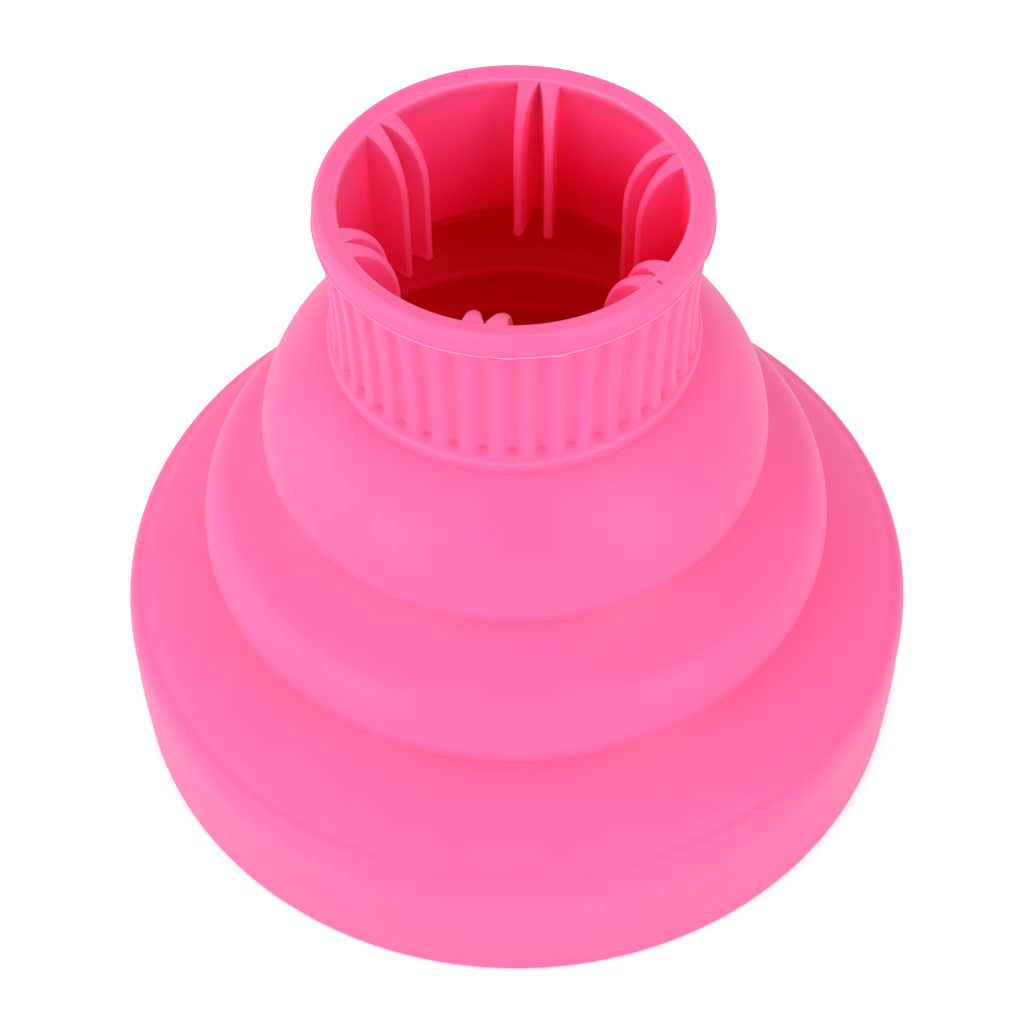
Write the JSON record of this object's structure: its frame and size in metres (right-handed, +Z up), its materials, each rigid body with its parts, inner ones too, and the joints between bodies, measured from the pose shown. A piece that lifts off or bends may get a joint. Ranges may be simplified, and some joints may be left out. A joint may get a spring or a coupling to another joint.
{
  "type": "dryer diffuser",
  "caption": "Collapsible soft diffuser for a hair dryer: ribbed socket with gripping fins, stepped domes that nest when pressed down, and a wide perforated face with rounded fingers",
  "frame": {"origin": "centre of the circle on which the lower rim stands, on the plane of that rim", "axes": "+Z runs up the common axis towards the dryer socket; -Y is the front; +X is to the right seen from the front"},
  "size_m": [0.1442, 0.1442, 0.1158],
  "materials": {
    "silicone_outer": "satin",
    "silicone_inner": "satin"
  },
  "bodies": {
    "base": {"lower_fold_web": "silicone_outer", "lower_tier": "silicone_outer", "base_skirt": "silicone_outer", "base_rim_bead": "silicone_outer", "plate_seat_bead": "silicone_inner", "plate_retaining_bead": "silicone_inner", "diffuser_plate": "silicone_inner", "centre_nub": "silicone_inner", "inner_nubs": "silicone_inner", "middle_nubs": "silicone_inner", "outer_nubs": "silicone_inner"},
    "middle": {"upper_fold_web": "silicone_outer", "middle_tier": "silicone_outer"},
    "neck": {"neck_lip": "silicone_outer", "neck_sleeve": "silicone_outer", "neck_base_bead": "silicone_outer", "upper_tier": "silicone_outer"},
    "fin_01": {"grip_fin_01": "silicone_inner"},
    "fin_02": {"grip_fin_02": "silicone_inner"},
    "fin_03": {"grip_fin_03": "silicone_inner"},
    "fin_04": {"grip_fin_04": "silicone_inner"},
    "fin_05": {"grip_fin_05": "silicone_inner"},
    "fin_06": {"grip_fin_06": "silicone_inner"},
    "fin_07": {"grip_fin_07": "silicone_inner"},
    "fin_08": {"grip_fin_08": "silicone_inner"},
    "fin_09": {"grip_fin_09": "silicone_inner"},
    "fin_10": {"grip_fin_10": "silicone_inner"},
    "fin_11": {"grip_fin_11": "silicone_inner"},
    "fin_12": {"grip_fin_12": "silicone_inner"}
  },
  "joints": [
    {"name": "lower_collapse", "type": "slide", "parent": "base", "child": "middle", "axis": [0, 0, -1], "range_m": [0, 0.015], "deforming": ["lower_fold_web"]},
    {"name": "upper_collapse", "type": "slide", "parent": "middle", "child": "neck", "axis": [0, 0, -1], "range_m": [0, 0.017], "deforming": ["upper_fold_web"]},
    {"name": "fin_01_bend", "type": "hinge", "parent": "neck", "child": "fin_01", "pos_m": [0.00231, 0.02562, 0.1], "axis": [0, 0, -1], "range_deg": [0, 60], "stiffness_Nm_per_rad": 0.002},
    {"name": "fin_02_bend", "type": "hinge", "parent": "neck", "child": "fin_02", "pos_m": [0.00606, 0.02499, 0.1], "axis": [0, 0, 1], "range_deg": [0, 60], "stiffness_Nm_per_rad": 0.002},
    {"name": "fin_03_bend", "type": "hinge", "parent": "neck", "child": "fin_03", "pos_m": [0.02334, 0.0108, 0.1], "axis": [0, 0, -1], "range_deg": [0, 60], "stiffness_Nm_per_rad": 0.002},
    {"name": "fin_04_bend", "type": "hinge", "parent": "neck", "child": "fin_04", "pos_m": [0.02468, 0.00725, 0.1], "axis": [0, 0, 1], "range_deg": [0, 60], "stiffness_Nm_per_rad": 0.002},
    {"name": "fin_05_bend", "type": "hinge", "parent": "neck", "child": "fin_05", "pos_m": [0.02103, -0.01481, 0.1], "axis": [0, 0, -1], "range_deg": [0, 60], "stiffness_Nm_per_rad": 0.002},
    {"name": "fin_06_bend", "type": "hinge", "parent": "neck", "child": "fin_06", "pos_m": [0.01861, -0.01775, 0.1], "axis": [0, 0, 1], "range_deg": [0, 60], "stiffness_Nm_per_rad": 0.002},
    {"name": "fin_07_bend", "type": "hinge", "parent": "neck", "child": "fin_07", "pos_m": [-0.00231, -0.02562, 0.1], "axis": [0, 0, -1], "range_deg": [0, 60], "stiffness_Nm_per_rad": 0.002},
    {"name": "fin_08_bend", "type": "hinge", "parent": "neck", "child": "fin_08", "pos_m": [-0.00606, -0.02499, 0.1], "axis": [0, 0, 1], "range_deg": [0, 60], "stiffness_Nm_per_rad": 0.002},
    {"name": "fin_09_bend", "type": "hinge", "parent": "neck", "child": "fin_09", "pos_m": [-0.02334, -0.0108, 0.1], "axis": [0, 0, -1], "range_deg": [0, 60], "stiffness_Nm_per_rad": 0.002},
    {"name": "fin_10_bend", "type": "hinge", "parent": "neck", "child": "fin_10", "pos_m": [-0.02468, -0.00725, 0.1], "axis": [0, 0, 1], "range_deg": [0, 60], "stiffness_Nm_per_rad": 0.002},
    {"name": "fin_11_bend", "type": "hinge", "parent": "neck", "child": "fin_11", "pos_m": [-0.02103, 0.01481, 0.1], "axis": [0, 0, -1], "range_deg": [0, 60], "stiffness_Nm_per_rad": 0.002},
    {"name": "fin_12_bend", "type": "hinge", "parent": "neck", "child": "fin_12", "pos_m": [-0.01861, 0.01775, 0.1], "axis": [0, 0, 1], "range_deg": [0, 60], "stiffness_Nm_per_rad": 0.002}
  ],
  "couplings": [
    {"joint": "fin_02_bend", "follows": "fin_01_bend", "ratio": 1},
    {"joint": "fin_03_bend", "follows": "fin_01_bend", "ratio": 1},
    {"joint": "fin_04_bend", "follows": "fin_01_bend", "ratio": 1},
    {"joint": "fin_05_bend", "follows": "fin_01_bend", "ratio": 1},
    {"joint": "fin_06_bend", "follows": "fin_01_bend", "ratio": 1},
    {"joint": "fin_07_bend", "follows": "fin_01_bend", "ratio": 1},
    {"joint": "fin_08_bend", "follows": "fin_01_bend", "ratio": 1},
    {"joint": "fin_09_bend", "follows": "fin_01_bend", "ratio": 1},
    {"joint": "fin_10_bend", "follows": "fin_01_bend", "ratio": 1},
    {"joint": "fin_11_bend", "follows": "fin_01_bend", "ratio": 1},
    {"joint": "fin_12_bend", "follows": "fin_01_bend", "ratio": 1}
  ]
}
